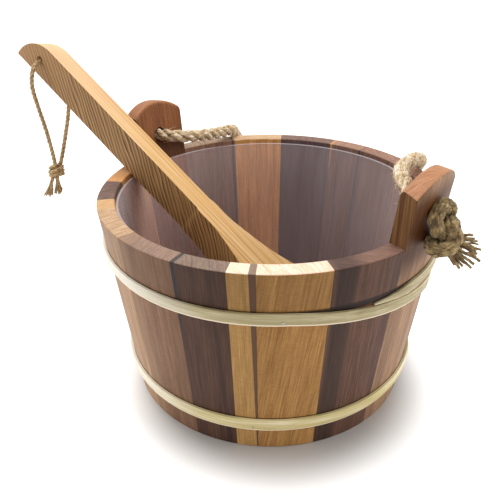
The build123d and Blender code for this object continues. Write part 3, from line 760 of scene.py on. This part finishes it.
    # end grain on the rim: growth rings at this stave's own angle, and its first streak
    ringTurn = (0, 0, math.radians(stave["turn"]))
    ringScale = (1 / (pail["ringWidth"] * mm), 1 / (14 * mm), 80)
    ringLook = {"Detail": 4.0, "Roughness": 0.7, "Distortion": 0.4}
    turned = addNode(tree, "Mapping", {"Vector": place, "Rotation": ringTurn}).outputs[0]
    rings = stretchedNoise(tree, turned, ringScale, ringLook, (low, low, 0))
    poreScale = 1 / (pail["poreWidth"] * mm)
    pores = addNode(tree, "TexNoise", {"Vector": place, "Scale": poreScale, "Detail": 2.0}).outputs["Fac"]
    rings = addNode(tree, "Mix", {0: 0.35, 2: rings, 3: pores}, data_type="FLOAT").outputs[0]
    endColour = addNode(tree, "ValToRGB", {0: rings}, stops=((0.36, 0.6), stave["end"])).outputs[0]
    top = addNode(tree, "MapRange", {0: upward, 1: 0.45, 2: 0.75}).outputs[0]
    if stave.get("streaks") and "ear" not in stave:
        topAngle, _, topHalf, _, code, amount, soft = stave["streaks"][0]
        away = distanceFrom(tree, arc, topAngle * perDegree)
        mask = {0: away, 1: topHalf + soft, 2: topHalf - soft / 2, 3: 0.0, 4: amount * 0.85}
        mask = addNode(tree, "MapRange", mask).outputs[0]
        endColour = {0: mask, 6: endColour, 7: hexToLinear(code)}
        endColour = addNode(tree, "Mix", endColour, data_type="RGBA").outputs[2]
    colour = addNode(tree, "Mix", {0: top, 6: colour, 7: endColour}, data_type="RGBA").outputs[2]

    # thin dark joints at both edges
    fromMiddle = addNode(tree, "Math", {0: arc}, operation="ABSOLUTE").outputs[0]
    halfArc = (high - low) / 2 * perDegree
    joint = {0: fromMiddle, 1: halfArc - pail["jointWidth"], 2: halfArc, 3: 0.0, 4: 0.6}
    joint = addNode(tree, "MapRange", joint).outputs[0]
    dark = hexToLinear(pail["jointColour"])
    colour = addNode(tree, "Mix", {0: joint, 6: colour, 7: dark}, data_type="RGBA").outputs[2]
    coverSurface(tree, shader, colour, fine, 0.35, 0.12 * mm)
    rough = addNode(tree, "MapRange", {0: tone, 1: 0.3, 2: 0.7, 3: 0.6, 4: 0.48}).outputs[0]
    tree.links.new(rough, shader.inputs["Roughness"])
    shader.inputs["Specular IOR Level"].default_value = 0.22
    return material


for staveName, stave in staves.items():
    dress(staveName, planedWood("planed softwood " + staveName, stave))
print("staves dressed")


# Bottom boards: the same softwood, grain running across the pail
def boardWood(name, tones, shift):
    material, tree, shader = newMaterial(name)
    place = addNode(tree, "TexCoord").outputs["Object"]
    fine = stretchedNoise(tree, place, (7, 1 / (1.4 * mm), 150), fineLines, (shift, shift, 0))
    colour = addNode(tree, "ValToRGB", {0: fine}, stops=((0.36, 0.5, 0.66), tones)).outputs[0]
    coverSurface(tree, shader, colour, fine, 0.35, 0.12 * mm)
    shader.inputs["Roughness"].default_value = 0.6
    return material


boards = {
    "bottom_board_front": ("#7A5A3E", "#94704E", "#AE8A64"),
    "bottom_board_middle": ("#8A643E", "#A87E50", "#C0986A"),
    "bottom_board_back": ("#6A4C38", "#84624A", "#9C7A60"),
}
for number, (boardName, tones) in enumerate(boards.items()):
    dress(boardName, boardWood("planed softwood " + boardName, tones, number * 3.7))

# Hoops: split green-white wood; at the lap the second strand falls from the upper hoop's edge
lap = {"from": math.radians(4), "to": math.radians(75), "power": 1.15, "gap": 0.5}
hoops = {
    "upper_hoop": {
        "foot": 118.5, "width": 9.2, "fall": 19.5,
        "tones": ("#94865E", "#B4A67C", "#D8CCAC"), "middle": "#A5986A",
    },
    "lower_hoop": {
        "foot": 20.5, "width": 10.2, "fall": 0.0,
        "tones": ("#B8A66C", "#D8C892", "#F6EACA"), "middle": "#CEB968",
    },
}
# painted highlights on the hoops: the left side, and partly the lower edge
hoopLight = {"shavedEdgeHighlight": "#FFF0D4", "leftHighlight": "#FFFAF0", "leftHighlightFrom": (-45, -110)}


# fine fibres along the strip, a duller middle, a pale lower edge that is partly shaved wood and partly painted
# highlight, and a painted highlight on the left side
def splitWood(name, hoop):
    material, tree, shader = newMaterial(name)
    place = addNode(tree, "TexCoord").outputs["Object"]
    across, deep, height = addNode(tree, "SeparateXYZ", {0: place}).outputs
    toFront = addNode(tree, "Math", {0: deep, 1: -1.0}, operation="MULTIPLY").outputs[0]
    around = addNode(tree, "Math", {0: across, 1: toFront}, operation="ARCTAN2").outputs[0]  # seam at the back
    arc = addNode(tree, "Math", {0: around, 1: pail["meanRadius"] * mm}, operation="MULTIPLY").outputs[0]
    reach = addNode(tree, "VectorMath", {0: place}, operation="LENGTH").outputs["Value"]
    foot, width = hoop["foot"] * mm, hoop["width"] * mm
    share = addNode(tree, "MapRange", {0: around, 1: lap["from"], 2: lap["to"]}).outputs[0]
    share = addNode(tree, "Math", {0: share, 1: lap["power"]}, operation="POWER").outputs[0]
    fallen = {0: share, 1: -hoop["fall"] * mm, 2: foot + width}
    fallen = addNode(tree, "Math", fallen, operation="MULTIPLY_ADD").outputs[0]
    seam = addNode(tree, "Math", {0: fallen, 1: lap["gap"] / 2 * mm}, operation="ADD").outputs[0]
    upper = addNode(tree, "Math", {0: height, 1: seam}, operation="GREATER_THAN").outputs[0]
    upperFoot = addNode(tree, "Math", {0: fallen, 1: foot}, operation="MAXIMUM").outputs[0]
    lowerFoot = addNode(tree, "Math", {0: fallen, 1: width}, operation="SUBTRACT").outputs[0]
    stripFoot = addNode(tree, "Mix", {0: upper, 2: lowerFoot, 3: upperFoot}, data_type="FLOAT").outputs[0]
    rise = addNode(tree, "Math", {0: height, 1: stripFoot}, operation="SUBTRACT").outputs[0]
    line = addNode(tree, "CombineXYZ", {0: arc, 1: rise, 2: reach}).outputs[0]
    fibreScale = (1 / (45 * mm), 1 / (0.9 * mm), 1 / (1.5 * mm))
    fine = stretchedNoise(tree, line, fibreScale, {"Detail": 5.0, "Roughness": 0.6, "Distortion": 0.2})
    patches = stretchedNoise(tree, line, (1 / (60 * mm), 1 / (6 * mm), 0), {"Detail": 1.0})
    tone = addNode(tree, "Mix", {0: 0.5, 2: fine, 3: patches}, data_type="FLOAT").outputs[0]
    colour = addNode(tree, "ValToRGB", {0: tone}, stops=((0.36, 0.5, 0.64), hoop["tones"])).outputs[0]
    start, end = hoopLight["leftHighlightFrom"]
    for mask, code in (
        ({0: rise, 1: 6.5 * mm, 2: 4.0 * mm, 3: 0.0, 4: 0.35}, hoop["middle"]),
        ({0: across, 1: start * mm, 2: end * mm, 3: 0.0, 4: 0.75}, hoopLight["leftHighlight"]),
        # pale lower edge: partly the shaved wood, partly a painted highlight where the rounded edge catches light
        ({0: rise, 1: 1.8 * mm, 2: 1.1 * mm, 3: 0.0, 4: 0.9}, hoopLight["shavedEdgeHighlight"]),
    ):
        mask = addNode(tree, "MapRange", mask).outputs[0]
        colour = addNode(tree, "Mix", {0: mask, 6: colour, 7: hexToLinear(code)}, data_type="RGBA").outputs[2]
    coverSurface(tree, shader, colour, fine, 0.5, 0.2 * mm)
    shader.inputs["Roughness"].default_value = 0.5
    return material


for hoopName, hoop in hoops.items():
    dress(hoopName, splitWood("split wood " + hoopName, hoop))

# Nails: dull grey steel
nail = {"tones": ("#8E8A7E", "#C2BEB0"), "gritSize": 0.6}
steel, tree, shader = newMaterial("dull nail steel")
place = addNode(tree, "TexCoord").outputs["Object"]
gritScale = 1 / (nail["gritSize"] * mm)
grit = addNode(tree, "TexNoise", {"Vector": place, "Scale": gritScale, "Detail": 2.0}).outputs["Fac"]
colour = addNode(tree, "ValToRGB", {0: grit}, stops=((0.35, 0.65), nail["tones"])).outputs[0]
tree.links.new(colour, shader.inputs["Base Color"])
shader.inputs["Metallic"].default_value = 1.0
shader.inputs["Roughness"].default_value = 0.45
for nailName in ("upper_hoop_nail", "lower_hoop_nail"):
    dress(nailName, steel)

# Liner: thin clear plastic, a milky film with faint upright drawing lines and a pale cut edge, hazier at the left
# with a painted reflection
liner = {
    "film": "#DED2D6",
    "edge": "#E6E0E6",
    "cover": 0.17,
    "edgeCover": 0.45,
    "leftReflection": 2.2,
    "leftReflectionFrom": (-85, -118),
    "cutBelow": (0.6, 0.3),
}
film, tree, shader = newMaterial("thin clear plastic")
place = addNode(tree, "TexCoord").outputs["Object"]
across, _, height = addNode(tree, "SeparateXYZ", {0: place}).outputs
drawn = stretchedNoise(tree, place, (1 / (9 * mm), 1 / (9 * mm), 1 / (300 * mm)), {"Detail": 3.0})
thin, thick = liner["cover"] * 0.85, liner["cover"] * 1.15
cover = addNode(tree, "MapRange", {0: drawn, 1: 0.35, 2: 0.65, 3: thin, 4: thick}).outputs[0]
# painted reflection: the film is hazier towards the left
start, end = [value * mm for value in liner["leftReflectionFrom"]]
reflectionHaze = addNode(tree, "MapRange", {0: across, 1: start, 2: end, 3: 1.0, 4: liner["leftReflection"]}).outputs[0]
cover = addNode(tree, "Math", {0: cover, 1: reflectionHaze}, operation="MULTIPLY").outputs[0]
start, end = [(pail["linerTop"] - value) * mm for value in liner["cutBelow"]]
cut = addNode(tree, "MapRange", {0: height, 1: start, 2: end}).outputs[0]
cover = addNode(tree, "Mix", {0: cut, 2: cover, 3: liner["edgeCover"]}, data_type="FLOAT").outputs[0]
colour = {0: cut, 6: hexToLinear(liner["film"]), 7: hexToLinear(liner["edge"])}
colour = addNode(tree, "Mix", colour, data_type="RGBA").outputs[2]
tree.links.new(colour, shader.inputs["Base Color"])
tree.links.new(cover, shader.inputs["Alpha"])
shader.inputs["Roughness"].default_value = 0.22
shader.inputs["Specular IOR Level"].default_value = 0.35
dress("liner", film)

# Ladle: sanded pine, straight lines along its top, slanting growth rings on its flanks
ladle = {
    "along": (-0.68393, 0.42240, 0.59482),
    "above": (0.50608, -0.31256, 0.80386),
    "beside": (0.52547, 0.85081, 0.0),
    "middle": (-107.66, 39.93, 157.3),
    "topTones": ("#B68448", "#D3A669", "#E6C598"),
    "tipTone": "#EAC4A2",
    "sideTones": ("#5C3E22", "#8E6B42", "#AE8858"),
    "sideTipTone": "#B58A62",
    # painted shade on faces that look down
    "underShadeTint": (0.42, 0.4, 0.43),
    "ringSpacing": 3.4,
    "ringSlant": 38,
    "ringWander": 2.2,
}
pine, tree, shader = newMaterial("sanded pine ladle")
source = addNode(tree, "TexCoord").outputs
toMiddle = [-value * mm for value in ladle["middle"]]
fromMiddle = addNode(tree, "Mapping", {"Vector": source["Object"], "Location": toMiddle}).outputs[0]
run, lift, side, facingUp, facingSide = [
    addNode(tree, "VectorMath", {0: vector, 1: ladle[direction]}, operation="DOT_PRODUCT").outputs["Value"]
    for vector, direction in (
        (fromMiddle, "along"), (fromMiddle, "above"), (fromMiddle, "beside"),
        (source["Normal"], "above"), (source["Normal"], "beside"),
    )
]

# top face: fine straight lines, paler towards the tip
lines = addNode(tree, "CombineXYZ", {0: run, 1: side, 2: lift}).outputs[0]
lineScale = (1 / (90 * mm), 1 / (0.75 * mm), 1 / (8 * mm))
topGrain = stretchedNoise(tree, lines, lineScale, {"Detail": 4.0, "Roughness": 0.6, "Distortion": 0.25})
topColour = addNode(tree, "ValToRGB", {0: topGrain}, stops=((0.34, 0.5, 0.66), ladle["topTones"])).outputs[0]
toTip = addNode(tree, "MapRange", {0: run, 1: 0.0, 2: 140 * mm, 3: 0.0, 4: 0.6}).outputs[0]
tipTone = hexToLinear(ladle["tipTone"])
topColour = addNode(tree, "Mix", {0: toTip, 6: topColour, 7: tipTone}, data_type="RGBA").outputs[2]

# flanks: saw-toothed growth rings across the handle at a slant
slant = math.radians(ladle["ringSlant"])
crossing = addNode(tree, "Math", {0: run, 1: math.sin(slant)}, operation="MULTIPLY").outputs[0]
crossing = {0: lift, 1: -math.cos(slant), 2: crossing}
crossing = addNode(tree, "Math", crossing, operation="MULTIPLY_ADD").outputs[0]
following = addNode(tree, "Math", {0: run, 1: math.cos(slant)}, operation="MULTIPLY").outputs[0]
following = {0: lift, 1: math.sin(slant), 2: following}
following = addNode(tree, "Math", following, operation="MULTIPLY_ADD").outputs[0]
ringPlace = addNode(tree, "CombineXYZ", {0: crossing, 1: following, 2: side}).outputs[0]
wander = stretchedNoise(tree, ringPlace, (1 / (14 * mm), 1 / (45 * mm), 1 / (30 * mm)), {"Detail": 2.0})
grainy = stretchedNoise(tree, ringPlace, (1 / (0.9 * mm), 1 / (35 * mm), 1 / (10 * mm)), {"Detail": 4.0})
wide = stretchedNoise(tree, ringPlace, (1 / (8 * mm), 1 / (60 * mm), 1 / (30 * mm)), {"Detail": 1.0})
perRing = 1 / (ladle["ringSpacing"] * mm)
rings = addNode(tree, "Math", {0: crossing, 1: perRing}, operation="MULTIPLY").outputs[0]
rings = addNode(tree, "Math", {0: wander, 1: ladle["ringWander"], 2: rings}, operation="MULTIPLY_ADD").outputs[0]
rings = addNode(tree, "Math", {0: rings}, operation="FRACT").outputs[0]
rings = addNode(tree, "MapRange", {0: rings, 3: 0.72, 4: 0.22}).outputs[0]
blurred = addNode(tree, "MapRange", {0: wide, 1: 0.4, 2: 0.62, 3: 0.55, 4: 0.2}).outputs[0]
rings = addNode(tree, "Mix", {0: blurred, 2: rings, 3: grainy}, data_type="FLOAT").outputs[0]
sideColour = addNode(tree, "ValToRGB", {0: rings}, stops=((0.34, 0.48, 0.62), ladle["sideTones"])).outputs[0]
sideTip = addNode(tree, "MapRange", {0: run, 1: 60 * mm, 2: 140 * mm, 3: 0.0, 4: 0.5}).outputs[0]
sideTipTone = hexToLinear(ladle["sideTipTone"])
sideColour = addNode(tree, "Mix", {0: sideTip, 6: sideColour, 7: sideTipTone}, data_type="RGBA").outputs[2]

# the rings fade round the bowl; faces that look down get painted shade
flank = addNode(tree, "Math", {0: facingSide}, operation="ABSOLUTE").outputs[0]
flank = addNode(tree, "MapRange", {0: flank, 1: 0.55, 2: 0.8}).outputs[0]
onHandle = addNode(tree, "MapRange", {0: run, 1: -150 * mm, 2: -110 * mm, 3: 0.3, 4: 1.0}).outputs[0]
flank = addNode(tree, "Math", {0: flank, 1: onHandle}, operation="MULTIPLY").outputs[0]
colour = addNode(tree, "Mix", {0: flank, 6: topColour, 7: sideColour}, data_type="RGBA").outputs[2]
under = addNode(tree, "MapRange", {0: facingUp, 1: -0.2, 2: -0.6}).outputs[0]
shadedUnderColour = addNode(tree, "VectorMath", {0: topColour, 1: ladle["underShadeTint"]}, operation="MULTIPLY").outputs[0]
colour = addNode(tree, "Mix", {0: under, 6: colour, 7: shadedUnderColour}, data_type="RGBA").outputs[2]
relief = addNode(tree, "Mix", {0: flank, 2: topGrain, 3: grainy}, data_type="FLOAT").outputs[0]
coverSurface(tree, shader, colour, relief, 0.3, 0.12 * mm)
shader.inputs["Roughness"].default_value = 0.5
shader.inputs["Specular IOR Level"].default_value = 0.25
dress("ladle", pine)
print("hoops, liner, nails and ladle dressed")
